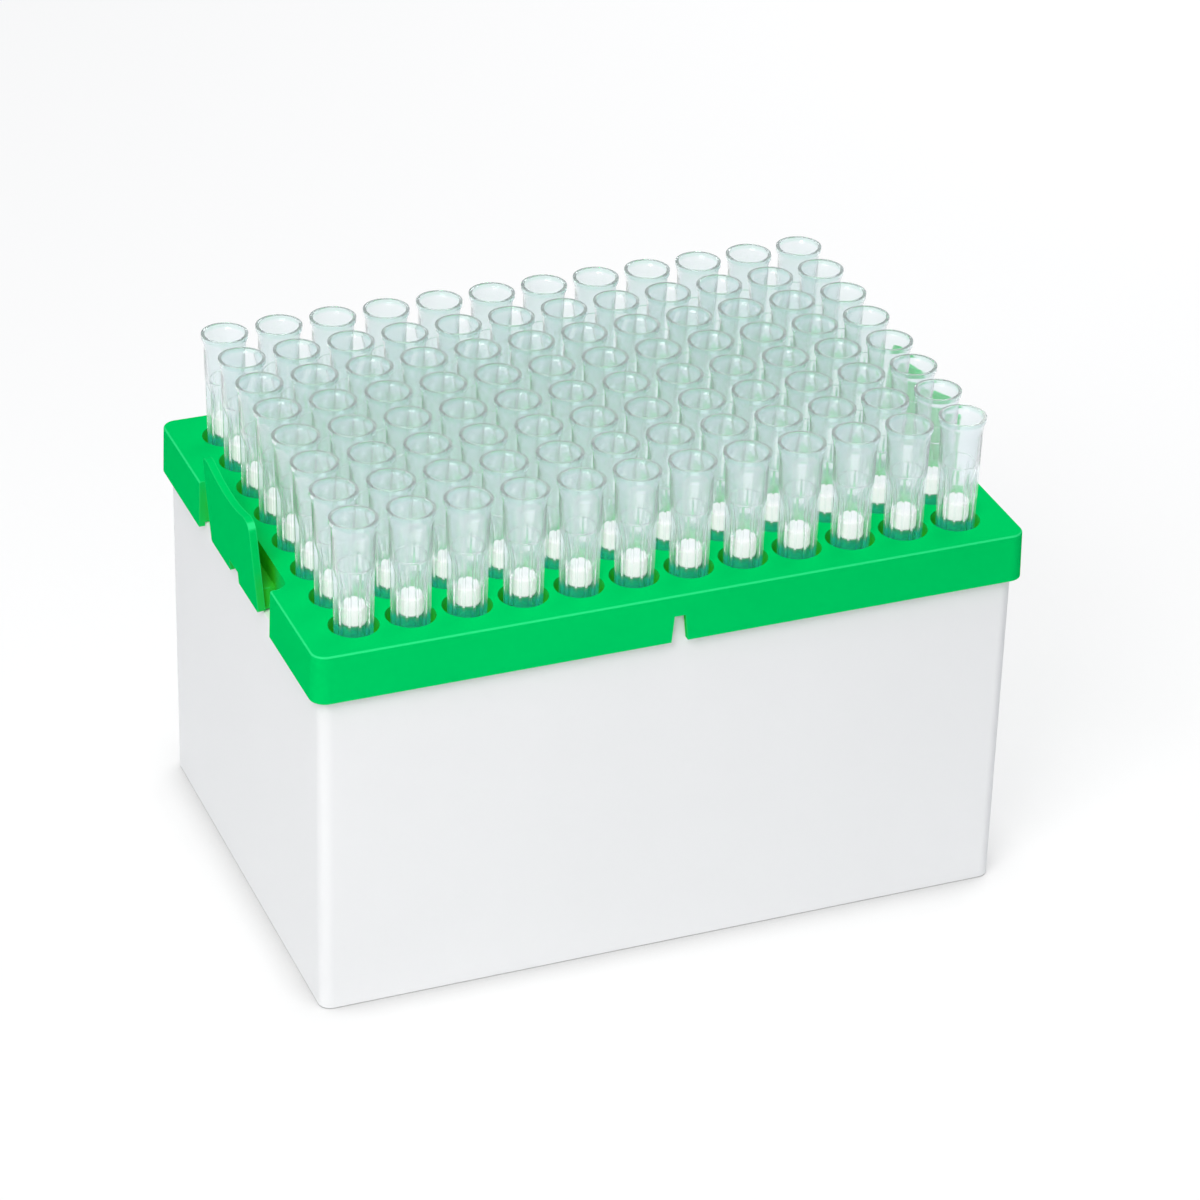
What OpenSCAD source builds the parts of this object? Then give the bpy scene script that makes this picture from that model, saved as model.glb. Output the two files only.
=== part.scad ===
// Box of pipette tips: a 96-place refill rack on its tub, with filter tips standing in it.
// Millimetres, +Z up, +X along the row of twelve, origin under the middle of the base.

/* [Deck] */
// Distance between neighbouring tips
pitch = 9; // [8.8:0.1:10.5]
// From the outer tip centres to the short edges of the deck
margin_x = 8.7; // [8.3:0.1:12]
// From the outer tip centres to the long edges of the deck
margin_y = 7.85; // [6.6:0.05:12]
// Thickness of the deck
deck_t = 1.5; // [1.2:0.1:2.4]
// Radius of the deck's corners
corner_r = 2.3; // [2.1:0.1:4]
// Rounding along the deck's top edge
edge_r = 0.4; // [0.2:0.05:0.7]
// Diameter of a socket's mouth
hole_d = 7.8; // [7:0.1:8]

/* [Sockets] */
// Depth from the deck's top to the seat of a tip
seat_depth = 3; // [2.2:0.1:4.5]
// Thickness of the seat
seat_t = 1.2; // [0.8:0.1:2]
// Bore of the seat
seat_bore = 5.4; // [5.3:0.1:5.6]
// Wall round a socket
socket_wall = 0.75; // [0.7:0.05:1]
// Length of the guide tube under the seat
guide_h = 9; // [3:0.5:15]
// Wall of the guide tube
guide_wall = 0.8; // [0.6:0.1:1.4]

/* [Skirt] */
// Height of the skirt, from the deck's top
skirt_h = 8; // [7.9:0.1:12]
// Wall of the skirt
skirt_wall = 1; // [0.8:0.05:1.4]
// How much the skirt flares out at its foot
skirt_draft = 0.2; // [0.05:0.05:0.4]
// Width of the centre notch at its top
notch_top = 1.8; // [1.4:0.1:3]
// Width of the centre notch at the skirt's foot
notch_foot = 2.7; // [1.8:0.1:4]
// Height of the skirt left over the centre notch
notch_left = 3.6; // [3:0.1:5]

/* [Latch tabs] */
// Width of the opening in the short sides
gap_w = 36; // [30:0.5:44]
// Thickness of the walls at the ends of the opening
return_t = 1; // [0.8:0.1:1.4]
// From the deck's edge in to the back of the slot
slot_in = 3.05; // [2.9:0.05:3.2]
// Radius of the slot's inner corners
slot_r = 2.4; // [1:0.1:2.8]
// Wall at the back of the slot
hinge_wall = 1.2; // [1:0.1:1.3]
// Depth of the back wall, from the deck's top
hinge_drop = 11; // [8:0.5:16]
// Depth from the deck's top to the web
web_depth = 3.5; // [2.6:0.1:4.5]
// Thickness of the web that carries the tab
web_t = 1.1; // [0.8:0.1:1.5]
// Thickness of the cheeks at the ends of the web
cheek_t = 1; // [0.8:0.1:1.5]
// Half width of the tab at its foot
tab_half = 11.9; // [11:0.1:14]
// How much narrower each side of the tab is at the shoulders
tab_taper = 0.2; // [0.1:0.05:1.2]
// Height of the tab's shoulders over the deck
tab_rise = 8.3; // [6:0.1:9]
// Depth of the tab's foot under the deck's top
tab_drop = 7.3; // [6.6:0.1:7.7]
// Thickness of the tab
tab_t = 1.2; // [1:0.1:1.5]
// Outward lean of the tab, in degrees
tab_lean = 4.8; // [1:0.2:5]
// Depth of the finger dip in the tab's top edge
dip = 1.2; // [0.8:0.1:3]
// Half width of the finger dip
dip_half = 9; // [5:0.1:10]
// Radius of the shoulders
shoulder_r = 1.5; // [1:0.1:2.5]
// Radius of the lower corners
foot_r = 0.5; // [0.3:0.1:2]
// Width of the small notch in the tab's foot
tab_notch_w = 4.4; // [3:0.1:7]
// Height of the small notch in the tab's foot
tab_notch_h = 2; // [0.8:0.1:2.2]

/* [Base] */
// Height of the base, up to the rim that carries the deck
base_h = 62.5; // [50:0.5:80]
// Wall of the base
base_wall = 1.5; // [1:0.1:1.7]
// Floor of the base
floor_t = 1.8; // [1.2:0.1:3]
// Radius of the base's corners
base_r = 2; // [1.8:0.1:4]
// Rounding along the base's foot
foot_edge_r = 0.3; // [0.2:0.1:1]
// Width of the standing rim underneath
stand_w = 3.5; // [3:0.5:8]
// Height of the recess underneath
recess_h = 0.7; // [0.4:0.1:1.5]
// Slack between the skirt and the base
skirt_gap = 0.1; // [0.05:0.05:0.3]
// Slack between the foot of a latch and the base's rim
web_gap = 0.2; // [0.1:0.05:0.5]

/* [Tips] */
// Height of the tips over the deck
tip_rise = 18.3; // [15:0.1:24]
// How far the tips reach under the deck's top
tip_drop = 36; // [30:0.5:45]
// Diameter of the lip
lip_d = 7.5; // [7.2:0.05:7.8]
// Height of the lip
lip_h = 0.6; // [0.4:0.05:1]
// Height of the flare under the lip
flare_h = 1.8; // [1.2:0.1:2.5]
// Diameter under the flare
neck_d = 6.7; // [6.5:0.05:6.9]
// Diameter over the ribs at the seat
rib_d = 6; // [5.8:0.05:6.2]
// Thickness of a rib
rib_t = 0.36; // [0.25:0.01:0.5]
// Diameter of the barrel between the ribs
barrel_d = 4.9; // [4.8:0.05:5.1]
// Diameter of the point
point_d = 0.9; // [0.8:0.05:1.4]
// Bore of the mouth
mouth_d = 6.4; // [6:0.05:6.45]
// Bore at the bottom of the mouth's cone
mouth_low_d = 5.4; // [5:0.05:5.5]
// Depth of the mouth's cone
mouth_depth = 8; // [6:0.1:10]
// Width of the step below the mouth's cone
step_w = 0.3; // [0.1:0.05:0.5]
// Bore of the point
point_bore = 0.46; // [0.3:0.02:0.6]

/* [Filters] */
// Diameter of a filter plug
plug_d = 4; // [3.6:0.05:4.2]
// Length of a filter plug
plug_h = 3; // [2:0.1:6]
// Height of a plug's foot over the deck's top
plug_z = 0.7; // [0:0.1:3]
// Width of the ledge that stops a plug
ledge_w = 0.2; // [0.1:0.02:0.4]
// Rounding of a plug's ends
plug_r = 0.3; // [0.1:0.05:0.6]
// Slack round a plug
plug_gap = 0.02; // [0.01:0.01:0.05]

/* [Hidden] */
$fn = 64;
eps = 0.01;
columns = 12;
rows = 8;
ribs = 12;

deck_l = (columns - 1) * pitch + 2 * margin_x;
deck_w = (rows - 1) * pitch + 2 * margin_y;
deck_z = base_h + deck_t;
base_l = deck_l - 2 * (skirt_wall + skirt_gap);
base_w = deck_w - 2 * (skirt_wall + skirt_gap);
seat_z = deck_z - seat_depth;
socket_d = hole_d + 2 * socket_wall;
guide_d = seat_bore + 2 * guide_wall;
slot_x = deck_l / 2 - slot_in;
deck_edge = 2;
base_corner_r = max(base_r, corner_r - skirt_wall - skirt_gap);
rim_dip = tab_drop + web_gap - deck_t;
dip_w = gap_w + 2 * (return_t + web_gap);
web_half = tab_half - foot_r - 0.2;
tab_lift = 0.15;
dip_r = (dip * dip + dip_half * dip_half) / (2 * dip);
step_z = tip_rise - mouth_depth;
flare_z = tip_rise - lip_h - flare_h;
flare_e = (lip_d - neck_d) / 2;
flare_r = (flare_e * flare_e + flare_h * flare_h) / (2 * flare_e);

function column_x(c) = (c - 1 - (columns - 1) / 2) * pitch;
function row_y(r) = (r - 1 - (rows - 1) / 2) * pitch;

// A section, x = 0 at the outer face and negative inwards, carried round a rounded oblong.
module around(l, w, r) {
  for (s = [-1, 1]) {
    translate([0, s * (w / 2 - r), 0]) mirror([0, s < 0 ? 1 : 0, 0]) rotate([90, 0, 90])
      translate([0, 0, -(l / 2 - r)]) linear_extrude(l - 2 * r) translate([r, 0]) children();
    translate([s * (l / 2 - r), 0, 0]) mirror([s < 0 ? 1 : 0, 0, 0]) rotate([90, 0, 0])
      translate([0, 0, -(w / 2 - r)]) linear_extrude(w - 2 * r) translate([r, 0]) children();
    for (t = [-1, 1])
      translate([s * (l / 2 - r), t * (w / 2 - r), 0])
        mirror([s < 0 ? 1 : 0, 0, 0]) mirror([0, t < 0 ? 1 : 0, 0])
          rotate_extrude(angle = 90) translate([r, 0]) children();
  }
}

module oblong(l, w, r) {
  square([l - 2 * r, w], center = true);
  square([l, w - 2 * r], center = true);
  for (s = [-1, 1], t = [-1, 1])
    translate([s * (l / 2 - r), t * (w / 2 - r)]) circle(r);
}

module grid() {
  for (c = [1:columns], r = [1:rows])
    translate([column_x(c), row_y(r)]) children();
}

// Outer profile of a tip without its ribs, above and below the deck's top.
module tip_outer() {
  difference() {
    polygon([[0, -tip_drop], [point_d / 2, -tip_drop], [barrel_d / 2, -seat_depth],
      [barrel_d / 2, step_z - 3], [envelope(step_z), step_z], [neck_d / 2, flare_z],
      [lip_d / 2, flare_z], [lip_d / 2, tip_rise], [0, tip_rise]]);
    translate([neck_d / 2 + flare_r, flare_z]) circle(flare_r);
  }
}

function envelope(z) =
  (rib_d + (neck_d - rib_d) * (z + seat_depth) / (flare_z + seat_depth)) / 2;

module tip_bore() {
  polygon([[0, -tip_drop - 1], [point_bore / 2, -tip_drop - 1], [point_bore / 2, -tip_drop],
    [plug_d / 2 - ledge_w, plug_z - 3], [plug_d / 2 - ledge_w, plug_z],
    [plug_d / 2 + plug_gap, plug_z], [plug_d / 2 + plug_gap, plug_z + plug_h],
    [mouth_low_d / 2 - step_w, step_z], [mouth_low_d / 2, step_z],
    [mouth_d / 2, tip_rise], [mouth_d / 2, tip_rise + 1], [0, tip_rise + 1]]);
}

module tip() {
  difference() {
    union() {
      rotate_extrude() tip_outer();
      intersection() {
        rotate_extrude()
          polygon([[0, -seat_depth], [rib_d / 2, -seat_depth], [envelope(step_z), step_z], [0, step_z]]);
        translate([0, 0, -seat_depth]) linear_extrude(step_z + seat_depth)
          for (k = [0:ribs / 2 - 1]) rotate(k * 360 / ribs) square([lip_d, rib_t], center = true);
      }
    }
    rotate_extrude() tip_bore();
  }
}

module tips_column(c) {
  color("lightcyan", 0.5) for (r = [1:rows]) translate([column_x(c), row_y(r), deck_z]) tip();
}

module filters_column(c) {
  color("white") for (r = [1:rows]) translate([column_x(c), row_y(r), deck_z + plug_z])
    rotate_extrude() {
      square([plug_d / 2 - plug_r, plug_h]);
      translate([0, plug_r]) square([plug_d / 2, plug_h - 2 * plug_r]);
      for (z = [plug_r, plug_h - plug_r]) translate([plug_d / 2 - plug_r, z])
        intersection() {
          circle(plug_r);
          translate([0, -plug_r]) square(2 * plug_r);
        }
    }
}

// The rim of the skirt: the edge of the deck, its rounding and the wall that hangs from it.
module skirt_section() {
  difference() {
    polygon([[skirt_draft, deck_z - skirt_h], [0, deck_z - edge_r], [0, deck_z],
      [-deck_edge, deck_z], [-deck_edge, deck_z - deck_t], [-skirt_wall, deck_z - deck_t],
      [skirt_draft - skirt_wall, deck_z - skirt_h]]);
    translate([-edge_r, deck_z - edge_r]) difference() {
      square(edge_r + 1);
      circle(edge_r);
    }
  }
}

module deck() {
  translate([0, 0, deck_z - deck_t]) linear_extrude(deck_t) difference() {
    oblong(deck_l - deck_edge, deck_w - deck_edge, corner_r - deck_edge / 2);
    grid() circle(d = hole_d);
  }
}

module sockets() {
  translate([0, 0, seat_z]) linear_extrude(seat_depth - deck_t + eps) difference() {
    grid() circle(d = socket_d);
    grid() circle(d = hole_d);
  }
  translate([0, 0, seat_z - seat_t]) linear_extrude(seat_t) difference() {
    grid() circle(d = socket_d);
    grid() circle(d = seat_bore);
  }
  translate([0, 0, seat_z - seat_t - guide_h]) linear_extrude(guide_h + eps) difference() {
    grid() circle(d = guide_d);
    grid() circle(d = seat_bore);
  }
}

// The slot cut in a short side, through the deck and the skirt.
module latch_gap() {
  translate([0, 0, deck_z - skirt_h - 1]) linear_extrude(skirt_h + 2) {
    translate([slot_x, -gap_w / 2 + slot_r]) square([slot_in + 2, gap_w - 2 * slot_r]);
    translate([slot_x + slot_r, -gap_w / 2]) square([slot_in + 2, gap_w]);
    for (s = [-1, 1]) translate([slot_x + slot_r, s * (gap_w / 2 - slot_r)]) circle(slot_r);
  }
}

module notch() {
  rotate([90, 0, 0]) linear_extrude(2 * (skirt_wall + skirt_draft), center = true)
    polygon([[-notch_foot / 2, deck_z - skirt_h - 1], [notch_foot / 2, deck_z - skirt_h - 1],
      [notch_foot / 2, deck_z - skirt_h], [notch_top / 2, deck_z - notch_left],
      [-notch_top / 2, deck_z - notch_left], [-notch_foot / 2, deck_z - skirt_h]]);
}

module tab_outline() {
  difference() {
    union() {
      polygon([[-tab_half + foot_r, -tab_drop], [tab_half - foot_r, -tab_drop],
        [tab_half, foot_r - tab_drop], [tab_half - tab_taper, tab_rise - shoulder_r],
        [tab_half - tab_taper - shoulder_r, tab_rise], [-tab_half + tab_taper + shoulder_r, tab_rise],
        [-tab_half + tab_taper, tab_rise - shoulder_r], [-tab_half, foot_r - tab_drop]]);
      for (s = [-1, 1]) {
        translate([s * (tab_half - tab_taper - shoulder_r), tab_rise - shoulder_r]) circle(shoulder_r);
        translate([s * (tab_half - foot_r), foot_r - tab_drop]) circle(foot_r);
      }
    }
    translate([0, tab_rise - dip + dip_r]) circle(dip_r);
    translate([-tab_notch_w / 2, -tab_drop - 1]) square([tab_notch_w, tab_notch_h + 1]);
  }
}

// A sprung latch: a wall down the back of the slot, a web with cheeks out over the rim, the tab.
// Short walls close the ends of the slot, out to the skirt.
module latch() {
  translate([slot_x - hinge_wall, -gap_w / 2 - return_t, deck_z - hinge_drop])
    cube([hinge_wall, gap_w + 2 * return_t, hinge_drop - deck_t + eps]);
  for (s = [0, 1]) mirror([0, s, 0])
    translate([slot_x - eps, gap_w / 2, deck_z - tab_drop])
      cube([slot_in - skirt_wall / 2, return_t, tab_drop - deck_t + eps]);
  translate([slot_x - eps, -web_half, deck_z - web_depth - web_t])
    cube([slot_in - tab_t / 2, 2 * web_half, web_t]);
  for (s = [0, 1]) mirror([0, s, 0])
    translate([slot_x - eps, web_half - cheek_t, deck_z - tab_drop + tab_lift])
      cube([slot_in - tab_t / 2, cheek_t, tab_drop - tab_lift - web_depth]);
  translate([deck_l / 2, 0, deck_z - tab_drop]) rotate([0, tab_lean, 0])
    translate([-tab_t, 0, tab_drop]) rotate([90, 0, 90]) linear_extrude(tab_t) tab_outline();
}

module tip_rack() {
  color("limegreen") {
    difference() {
      union() {
        around(deck_l, deck_w, corner_r) skirt_section();
        deck();
      }
      for (s = [0, 1]) {
        mirror([s, 0, 0]) latch_gap();
        translate([0, (2 * s - 1) * deck_w / 2, 0]) notch();
      }
    }
    sockets();
    for (s = [0, 1]) mirror([s, 0, 0]) latch();
  }
}

// A wall of the base, with its foot rounded outside.
module wall_section() {
  difference() {
    translate([-base_wall, 0]) square([base_wall, base_h]);
    translate([-foot_edge_r, foot_edge_r]) mirror([0, 1]) difference() {
      square(foot_edge_r + 1);
      circle(foot_edge_r);
    }
  }
}

module base_box() {
  color("white") difference() {
    union() {
      around(base_l, base_w, base_corner_r) wall_section();
      translate([0, 0, recess_h]) linear_extrude(floor_t)
        oblong(base_l - base_wall, base_w - base_wall, base_corner_r - base_wall / 2);
      linear_extrude(recess_h + eps) difference() {
        oblong(base_l - 2 * foot_edge_r, base_w - 2 * foot_edge_r, base_corner_r - foot_edge_r);
        oblong(base_l - 2 * stand_w, base_w - 2 * stand_w, base_corner_r / 2);
      }
    }
    for (s = [-1, 1])
      translate([s * base_l / 2, 0, base_h]) cube([4 * base_wall, dip_w, 2 * rim_dip], center = true);
  }
}

base_box();
tip_rack();
tips_column(1);  // tips_column_01
tips_column(2);  // tips_column_02
tips_column(3);  // tips_column_03
tips_column(4);  // tips_column_04
tips_column(5);  // tips_column_05
tips_column(6);  // tips_column_06
tips_column(7);  // tips_column_07
tips_column(8);  // tips_column_08
tips_column(9);  // tips_column_09
tips_column(10);  // tips_column_10
tips_column(11);  // tips_column_11
tips_column(12);  // tips_column_12
filters_column(1);  // filters_column_01
filters_column(2);  // filters_column_02
filters_column(3);  // filters_column_03
filters_column(4);  // filters_column_04
filters_column(5);  // filters_column_05
filters_column(6);  // filters_column_06
filters_column(7);  // filters_column_07
filters_column(8);  // filters_column_08
filters_column(9);  // filters_column_09
filters_column(10);  // filters_column_10
filters_column(11);  // filters_column_11
filters_column(12);  // filters_column_12
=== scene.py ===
"""The box of pipette tips, dressed: moulded tub and rack, clear filter tips and their plugs."""
import math

import bpy
from mathutils import Matrix, Vector

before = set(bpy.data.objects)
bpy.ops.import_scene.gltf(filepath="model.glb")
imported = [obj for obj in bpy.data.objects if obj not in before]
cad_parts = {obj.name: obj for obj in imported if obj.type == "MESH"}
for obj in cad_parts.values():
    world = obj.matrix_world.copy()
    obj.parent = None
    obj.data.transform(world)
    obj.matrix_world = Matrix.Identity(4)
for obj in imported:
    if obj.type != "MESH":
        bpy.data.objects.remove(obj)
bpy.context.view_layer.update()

scene = bpy.context.scene
scene.view_settings.view_transform = "Standard"

# ---------------------------------------------------------------- sizes and places in metres, and shares

COLUMNS = 12
HALF_PITCH = 0.0045              # half of the distance between neighbouring tips
BARREL_RADIUS = 0.00255          # a tip's ribs stand out past this
RIB_RADIUS = 0.0029
TIP_FOOT = 0.0640                # the deck's top, where the heights on a tip count from
TIP_HEAD = 0.0830                # just over the lips, where they count as 1
PLUG_FOOT = (0.019, 0.050)       # as shares of that height, the stretches in which a tip changes:
PLUG_HEAD = (0.196, 0.259)       # past the ends of its plug, and into its lip
LIP_FOOT = (0.920, 0.935)
RIBS_END = 0.4                   # the ribs' upper end, as such a share
RIB_HAZE = 0.8                   # how much of the ribs is seen round the plug
RIM_STARTS = (("X", 0.0560), ("Y", 0.0372))    # the rack's rim, outside the field of holes
SOCKET_REACH = 0.008             # walls this near to each other bring painted shade into their sockets and slots
EDGE_RADIUS = 0.0004             # the rack's moulded edges
GRAIN_HEIGHT = 0.0001            # of the moulded skins and of the plugs' pores
PAINTED_SHADOW_REACH = 0.010                # painted shadow on the floor this near to the tub
FLOOR_WIDTH = 6.0
FLOOR_DROP = 0.00005             # keeps the floor clear of the tub's foot

# ---------------------------------------------------------------- colours

RACK_GREEN = (0.0, 0.60, 0.125)
# painted highlight on the rack's moulded edges
RACK_PAINTED_HIGHLIGHT = (0.05, 0.90, 0.33)
# painted shade in the rack's sockets and slots
RACK_PAINTED_SHADE = (0.04, 0.50, 0.02)
TUB_WHITE = (0.86, 0.865, 0.87)
TIP_BODY = (0.912, 0.952, 0.975)
# painted reflection of the green surroundings at the tips' lips
TIP_LIP_PAINTED_REFLECTION = (0.80, 0.93, 0.92)
# painted reflection of the green socket on the tips under their plugs
TIP_PAINTED_SOCKET_REFLECTION = (0.12, 0.97, 0.97)
PURE_WHITE = (1.0, 1.0, 1.0)
ROOM_LIGHT = (0.425, 0.440, 0.469)
LAMP_LIGHT = (1.0, 0.985, 0.955)


# ---------------------------------------------------------------- node helpers

def new_material(name):
    """An empty material with its output, and the tree to fill."""
    material = bpy.data.materials.new(name)
    material.use_nodes = True
    tree = material.node_tree
    tree.nodes.clear()
    output = tree.nodes.new("ShaderNodeOutputMaterial")
    return material, tree, output


def set_nodes(node, **values):
    for key, value in values.items():
        node.inputs[key.replace("_", " ")].default_value = value
    return node


def dress(node_name, material):
    """A CAD node takes a finished material."""
    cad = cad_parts[node_name]
    cad.data.materials.clear()
    cad.data.materials.append(material)


def grey(level):
    return (level, level, level)


def ramp(tree, value, stops):
    """A colour ramp on a value from 0 to 1, with its stops given as (place, colour)."""
    node = tree.nodes.new("ShaderNodeValToRGB")
    tree.links.new(value, node.inputs[0])
    marks = node.color_ramp.elements
    while len(marks) < len(stops):
        marks.new(0.5)
    for mark, (place, colour) in zip(marks, stops):
        mark.position = place
        mark.color = (*colour, 1.0)
    return node.outputs["Color"]


def spread(tree, value, start, end, first, last):
    """A value from start to end becomes one from first to last, and stops at both."""
    node = set_nodes(tree.nodes.new("ShaderNodeMapRange"),
                     From_Min=start, From_Max=end, To_Min=first, To_Max=last)
    tree.links.new(value, node.inputs["Value"])
    return node.outputs["Result"]


def reckon(tree, operation, *terms):
    """A Math node on terms that are numbers or linked values."""
    node = tree.nodes.new("ShaderNodeMath")
    node.operation = operation
    for socket, term in zip(node.inputs, terms):
        if isinstance(term, float):
            socket.default_value = term
        else:
            tree.links.new(term, socket)
    return node.outputs[0]


def length(tree, vector):
    node = tree.nodes.new("ShaderNodeVectorMath")
    node.operation = "LENGTH"
    tree.links.new(vector, node.inputs[0])
    return node.outputs["Value"]


def mixed(tree, share, first, second):
    """Two colours, either of them given or linked, mixed by a share from 0 to 1."""
    node = tree.nodes.new("ShaderNodeMix")
    node.data_type = "RGBA"
    tree.links.new(share, node.inputs[0])
    for socket, colour in ((node.inputs[6], first), (node.inputs[7], second)):
        if isinstance(colour, tuple):
            socket.default_value = (*colour, 1.0)
        else:
            tree.links.new(colour, socket)
    return node.outputs[2]


def object_axes(tree, outward=False):
    """X, Y and Z of the place on the object, without their signs if counted outward from the middle."""
    place = tree.nodes.new("ShaderNodeTexCoord").outputs["Object"]
    if outward:
        whole = tree.nodes.new("ShaderNodeVectorMath")
        whole.operation = "ABSOLUTE"
        tree.links.new(place, whole.inputs[0])
        place = whole.outputs["Vector"]
    axes = tree.nodes.new("ShaderNodeSeparateXYZ")
    tree.links.new(place, axes.inputs[0])
    return axes.outputs


# ---------------------------------------------------------------- moulded polypropylene

def mould_skin_group():
    """The skin of moulded polypropylene: faint clouding, fine grain and a soft, uneven gloss."""
    group = bpy.data.node_groups.new("mould_skin", "ShaderNodeTree")
    for label, way, kind in (("Colour", "INPUT", "Color"), ("Cloud", "INPUT", "Float"),
                             ("Roughness", "INPUT", "Float"), ("Colour", "OUTPUT", "Color"),
                             ("Roughness", "OUTPUT", "Float"), ("Height", "OUTPUT", "Float")):
        group.interface.new_socket(label, in_out=way, socket_type="NodeSocket" + kind)
    nodes, link = group.nodes, group.links.new
    given = nodes.new("NodeGroupInput").outputs
    out = nodes.new("NodeGroupOutput").inputs
    place = nodes.new("ShaderNodeTexCoord")
    cloud = set_nodes(nodes.new("ShaderNodeTexNoise"), Scale=28.0, Detail=3.0, Roughness=0.5)
    grain = set_nodes(nodes.new("ShaderNodeTexNoise"), Scale=2600.0, Detail=2.0, Roughness=0.6)
    link(place.outputs["Object"], cloud.inputs["Vector"])
    link(place.outputs["Object"], grain.inputs["Vector"])
    shade = set_nodes(nodes.new("ShaderNodeMapRange"), From_Min=0.3, From_Max=0.7, To_Max=1.0)
    link(cloud.outputs["Fac"], shade.inputs["Value"])
    link(reckon(group, "SUBTRACT", 1.0, given["Cloud"]), shade.inputs["To Min"])
    tint = nodes.new("ShaderNodeVectorMath")
    tint.operation = "SCALE"
    link(given["Colour"], tint.inputs[0])
    link(shade.outputs["Result"], tint.inputs["Scale"])
    link(tint.outputs["Vector"], out["Colour"])
    gloss = spread(group, cloud.outputs["Fac"], 0.3, 0.7, 0.9, 1.1)
    link(reckon(group, "MULTIPLY", given["Roughness"], gloss), out["Roughness"])
    link(grain.outputs["Fac"], out["Height"])
    return group


mould_skin = mould_skin_group()


def painted_shade_and_highlights(tree, skin_colour, highlight_colour, shade_colour):
    """Painted shade in sockets and slots, and painted highlights on the small moulded radii on the rim of
    the rack, where the real gloss would catch the light."""
    new, link = tree.nodes.new, tree.links.new
    # painted shade: ambient occlusion darkens the colour in sockets and slots
    open_to_air = new("ShaderNodeAmbientOcclusion")
    open_to_air.samples = 8
    open_to_air.only_local = True
    open_to_air.inputs["Distance"].default_value = SOCKET_REACH
    free = spread(tree, open_to_air.outputs["AO"], 0.25, 0.80, 0.0, 1.0)
    shaded = mixed(tree, free, shade_colour, skin_colour)
    # painted highlight: the colour is lightened on sharp edges and roundings along the rim
    rounded = new("ShaderNodeBevel")
    rounded.samples = 4
    rounded.inputs["Radius"].default_value = EDGE_RADIUS
    geometry = new("ShaderNodeNewGeometry")
    same = new("ShaderNodeVectorMath")
    same.operation = "DOT_PRODUCT"
    link(rounded.outputs["Normal"], same.inputs[0])
    link(geometry.outputs["True Normal"], same.inputs[1])
    sharp = spread(tree, same.outputs["Value"], 0.80, 0.985, 0.3, 0.0)
    facing = new("ShaderNodeSeparateXYZ")
    link(geometry.outputs["True Normal"], facing.inputs[0])
    soft = ramp(tree, facing.outputs["Z"],
                [(0.25, grey(0.0)), (0.45, grey(0.5)), (0.85, grey(0.5)), (0.96, grey(0.0))])
    outward = object_axes(tree, outward=True)
    rim = [reckon(tree, "GREATER_THAN", outward[axis], start) for axis, start in RIM_STARTS]
    share = reckon(tree, "MULTIPLY", reckon(tree, "MAXIMUM", sharp, soft), reckon(tree, "MAXIMUM", *rim))
    return mixed(tree, share, shaded, highlight_colour)


def moulded(name, colour, cloud, roughness, grain, specular, highlight_colour=None, shade_colour=None):
    material, tree, output = new_material(name)
    skin = tree.nodes.new("ShaderNodeGroup")
    skin.node_tree = mould_skin
    set_nodes(skin, Colour=(*colour, 1.0), Cloud=cloud, Roughness=roughness)
    bump = set_nodes(tree.nodes.new("ShaderNodeBump"), Strength=grain, Distance=GRAIN_HEIGHT)
    tree.links.new(skin.outputs["Height"], bump.inputs["Height"])
    shader = tree.nodes.new("ShaderNodeBsdfPrincipled")
    shader.inputs["Specular IOR Level"].default_value = specular
    colour_out = skin.outputs["Colour"]
    # the rack's colour carries painted shade and painted highlights
    if highlight_colour:
        colour_out = painted_shade_and_highlights(tree, colour_out, highlight_colour, shade_colour)
    tree.links.new(colour_out, shader.inputs["Base Color"])
    tree.links.new(skin.outputs["Roughness"], shader.inputs["Roughness"])
    tree.links.new(bump.outputs["Normal"], shader.inputs["Normal"])
    tree.links.new(shader.outputs["BSDF"], output.inputs["Surface"])
    return material


# ---------------------------------------------------------------- clear tips and their plugs

def outside_barrel(tree, axes):
    """1 where a tip's ribs stand out past its barrel, 0 on the barrel."""
    off = tree.nodes.new("ShaderNodeCombineXYZ")
    for axis in ("X", "Y"):
        shifted = reckon(tree, "ADD", axes[axis], HALF_PITCH)
        tree.links.new(reckon(tree, "WRAP", shifted, HALF_PITCH, -HALF_PITCH), off.inputs[axis])
    return spread(tree, length(tree, off.outputs["Vector"]), BARREL_RADIUS, RIB_RADIUS, 0.0, 1.0)


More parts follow.
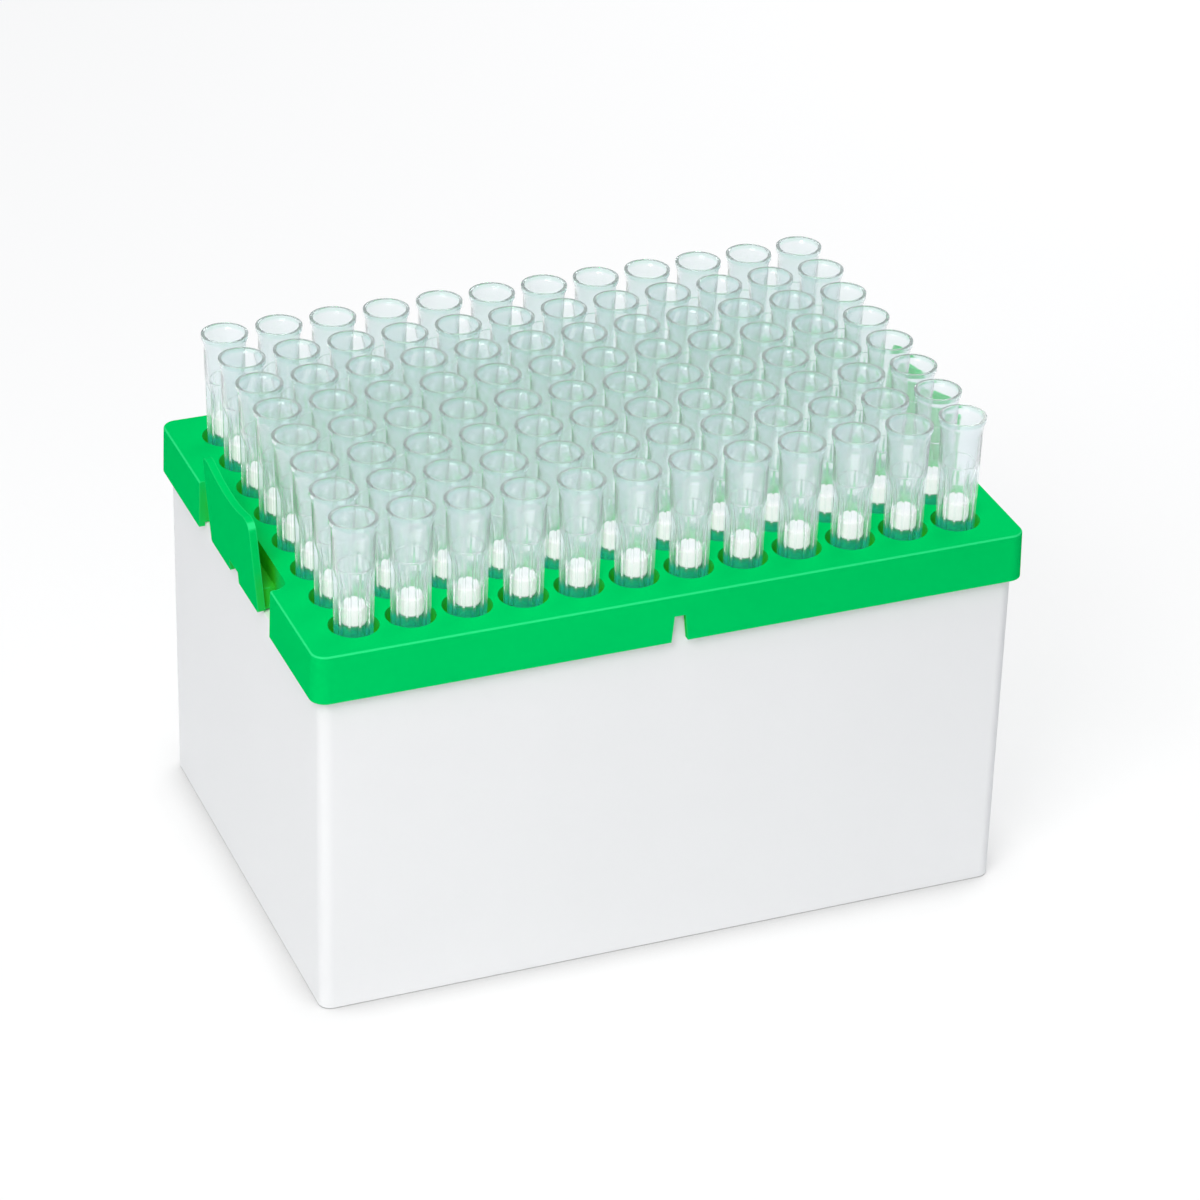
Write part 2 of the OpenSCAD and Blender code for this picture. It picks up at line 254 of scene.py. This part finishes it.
def clear_plastic():
    """Thin clear polypropylene with a faint haze. Light and shade pass it freely. Round the plug the barrel
    is left clearer than its ribs;
    under the plug its colour is a painted reflection of the green socket round it, and at the lip a painted
    reflection of its green surroundings."""
    material, tree, output = new_material("clear_tip_plastic")
    path = tree.nodes.new("ShaderNodeLightPath").outputs
    passing = reckon(tree, "MAXIMUM", path["Is Shadow Ray"], path["Is Diffuse Ray"])
    veil = spread(tree, passing, 0.0, 1.0, 1.0, 0.0)
    axes = object_axes(tree)
    height = spread(tree, axes["Z"], TIP_FOOT, TIP_HEAD, 0.0, 1.0)
    # the colour carries painted reflections: of the green socket under the plug, of the green surroundings
    # at the lip
    tone = ramp(tree, height, [(PLUG_FOOT[0], TIP_PAINTED_SOCKET_REFLECTION), (PLUG_FOOT[1], TIP_BODY),
                               (LIP_FOOT[0], TIP_BODY), (LIP_FOOT[1], TIP_LIP_PAINTED_REFLECTION)])
    barrel = ramp(tree, height, [(PLUG_FOOT[0], grey(0.85)), (PLUG_FOOT[1], grey(0.3)),
                                 (PLUG_HEAD[0], grey(0.3)), (PLUG_HEAD[1], grey(1.0))])
    ribs = reckon(tree, "MULTIPLY", outside_barrel(tree, axes), reckon(tree, "LESS_THAN", height, RIBS_END))
    shown = reckon(tree, "MAXIMUM", barrel, reckon(tree, "MULTIPLY", ribs, RIB_HAZE))
    shader = tree.nodes.new("ShaderNodeBsdfPrincipled")
    shader.inputs["Roughness"].default_value = 0.1
    shader.inputs["IOR"].default_value = 1.49
    shader.inputs["Transmission Weight"].default_value = 0.88
    tree.links.new(tone, shader.inputs["Base Color"])
    tree.links.new(reckon(tree, "MULTIPLY", veil, shown), shader.inputs["Alpha"])
    tree.links.new(shader.outputs["BSDF"], output.inputs["Surface"])
    return material


def porous_plug():
    """Porous polyethylene: fine pores, and a painted glow in place of the light that the clear tip leads
    into it.
    """
    material, tree, output = new_material("porous_filter")
    place = tree.nodes.new("ShaderNodeTexCoord")
    pores = set_nodes(tree.nodes.new("ShaderNodeTexVoronoi"), Scale=5200.0)
    tree.links.new(place.outputs["Object"], pores.inputs["Vector"])
    tone = spread(tree, pores.outputs["Distance"], 0.0, 0.6, 0.33, 0.40)
    colour = tree.nodes.new("ShaderNodeCombineColor")
    for channel in ("Red", "Green", "Blue"):
        tree.links.new(tone, colour.inputs[channel])
    bump = set_nodes(tree.nodes.new("ShaderNodeBump"), Strength=0.4, Distance=GRAIN_HEIGHT)
    tree.links.new(pores.outputs["Distance"], bump.inputs["Height"])
    shader = tree.nodes.new("ShaderNodeBsdfPrincipled")
    shader.inputs["Roughness"].default_value = 0.85
    shader.inputs["Specular IOR Level"].default_value = 0.2
    # painted glow: the plug shines by itself, though it is no lamp
    shader.inputs["Emission Color"].default_value = (*PURE_WHITE, 1.0)
    shader.inputs["Emission Strength"].default_value = 0.6
    tree.links.new(colour.outputs["Color"], shader.inputs["Base Color"])
    tree.links.new(bump.outputs["Normal"], shader.inputs["Normal"])
    tree.links.new(shader.outputs["BSDF"], output.inputs["Surface"])
    return material


# ---------------------------------------------------------------- the pieces take their materials

green = moulded("green_polypropylene", RACK_GREEN, cloud=0.06, roughness=0.5, grain=0.08, specular=0.0,
                highlight_colour=RACK_PAINTED_HIGHLIGHT, shade_colour=RACK_PAINTED_SHADE)
white = moulded("white_polypropylene", TUB_WHITE, cloud=0.012, roughness=0.5, grain=0.06, specular=0.1)
clear = clear_plastic()
porous = porous_plug()

dress("base_box", white)
dress("tip_rack", green)
for column in range(1, COLUMNS + 1):
    dress(f"tips_column_{column:02d}", clear)
    dress(f"filters_column_{column:02d}", porous)


# ---------------------------------------------------------------- floor, light and camera

def looked_at(tree):
    """1 for what the eye sees straight on, in a gloss or through clear plastic; 0 for light on its way."""
    path = tree.nodes.new("ShaderNodeLightPath").outputs
    straight = reckon(tree, "MAXIMUM", path["Is Camera Ray"], path["Is Glossy Ray"])
    return reckon(tree, "MAXIMUM", straight, path["Is Transmission Ray"])


def chosen(tree, share, first, second):
    """Two shaders, the second where the share is 1."""
    node = tree.nodes.new("ShaderNodeMixShader")
    tree.links.new(share, node.inputs["Fac"])
    tree.links.new(first.outputs[0], node.inputs[1])
    tree.links.new(second.outputs[0], node.inputs[2])
    return node.outputs[0]


def pale_floor():
    """A pale floor with a painted shadow close under the tub. It looks near white, but lights the tub as a
    plain one.
    """
    bpy.ops.mesh.primitive_plane_add(size=FLOOR_WIDTH, location=(0.0, 0.0, -FLOOR_DROP))
    floor = bpy.context.object
    floor.name = "floor"
    material, tree, output = new_material("studio_floor")
    # painted contact shadow: ambient occlusion darkens the floor's seen colour and glow near the tub
    near = tree.nodes.new("ShaderNodeAmbientOcclusion")
    near.samples = 12
    near.inputs["Distance"].default_value = PAINTED_SHADOW_REACH
    shade = ramp(tree, near.outputs["AO"],
                 [(0.35, grey(0.45)), (0.52, grey(0.78)), (0.75, grey(0.94)), (1.0, grey(1.0))])
    part = tree.nodes.new("ShaderNodeVectorMath")
    part.operation = "SCALE"
    part.inputs["Scale"].default_value = 0.40
    tree.links.new(shade, part.inputs[0])
    matt = tree.nodes.new("ShaderNodeBsdfDiffuse")
    tree.links.new(part.outputs["Vector"], matt.inputs["Color"])
    glow = set_nodes(tree.nodes.new("ShaderNodeEmission"), Strength=0.60)
    tree.links.new(shade, glow.inputs["Color"])
    both = tree.nodes.new("ShaderNodeAddShader")
    tree.links.new(matt.outputs[0], both.inputs[0])
    tree.links.new(glow.outputs[0], both.inputs[1])
    plain = tree.nodes.new("ShaderNodeBsdfDiffuse")
    place = tree.nodes.new("ShaderNodeTexCoord")
    reach = length(tree, place.outputs["Object"])
    tree.links.new(spread(tree, reach, 0.12, 0.6, 0.95, 0.62), plain.inputs["Color"])
    tree.links.new(chosen(tree, looked_at(tree), plain, both), output.inputs["Surface"])
    floor.data.materials.append(material)


def white_room():
    """Even, slightly cool light from all round, in a room that is seen as white."""
    world = bpy.data.worlds.new("white_room")
    scene.world = world
    world.use_nodes = True
    tree = world.node_tree
    tree.nodes.clear()
    output = tree.nodes.new("ShaderNodeOutputWorld")
    light = set_nodes(tree.nodes.new("ShaderNodeBackground"), Color=(*ROOM_LIGHT, 1.0), Strength=1.0)
    seen = set_nodes(tree.nodes.new("ShaderNodeBackground"), Color=(*PURE_WHITE, 1.0), Strength=1.0)
    tree.links.new(chosen(tree, looked_at(tree), light, seen), output.inputs["Surface"])


def soft_lamp(name, place, aim, size, power):
    lamp = bpy.data.lights.new(name, "AREA")
    lamp.color = LAMP_LIGHT
    lamp.shape = "SQUARE"
    lamp.size = size
    lamp.energy = power
    holder = bpy.data.objects.new(name, lamp)
    scene.collection.objects.link(holder)
    holder.location = place
    holder.rotation_mode = "QUATERNION"
    holder.rotation_quaternion = (Vector(aim) - Vector(place)).to_track_quat("-Z", "Y")


def camera(place, turn, lift, roll, lens_mm):
    """A camera at its place, turned by degrees round Z, lifted over the floor and rolled."""
    turn, lift, roll = math.radians(turn), math.radians(lift), math.radians(roll)
    back = Vector((math.sin(turn) * math.cos(lift), -math.cos(turn) * math.cos(lift), math.sin(lift)))
    right = Vector((math.cos(turn), math.sin(turn), 0.0))
    up = right.cross(-back)
    across = math.cos(roll) * right + math.sin(roll) * up
    upward = -math.sin(roll) * right + math.cos(roll) * up
    lens = bpy.data.cameras.new("camera")
    lens.sensor_width = 36.0
    lens.lens = lens_mm
    lens.clip_start, lens.clip_end = 0.05, 20.0
    eye = bpy.data.objects.new("camera", lens)
    scene.collection.objects.link(eye)
    pose = Matrix((across, upward, back)).transposed().to_4x4()
    pose.translation = Vector(place)
    eye.matrix_world = pose
    scene.camera = eye


pale_floor()
white_room()
soft_lamp("key", place=(-0.22, -0.30, 1.25), aim=(0.0, 0.0, 0.05), size=0.6, power=3.3)
soft_lamp("near", place=(-0.29, -0.31, 0.42), aim=(-0.03, 0.0, 0.05), size=0.25, power=1.6)
soft_lamp("far", place=(0.42, 0.36, 0.34), aim=(0.0, 0.0, 0.04), size=0.3, power=1.0)
camera((-0.2372, -0.5850, 0.4090), turn=-22.319, lift=30.204, roll=1.656, lens_mm=136.56)

scene.cycles.use_light_tree = False
# Deep enough to see through many tips, one behind another.
scene.cycles.max_bounces = 32
scene.cycles.transmission_bounces = 32
scene.cycles.transparent_max_bounces = 64
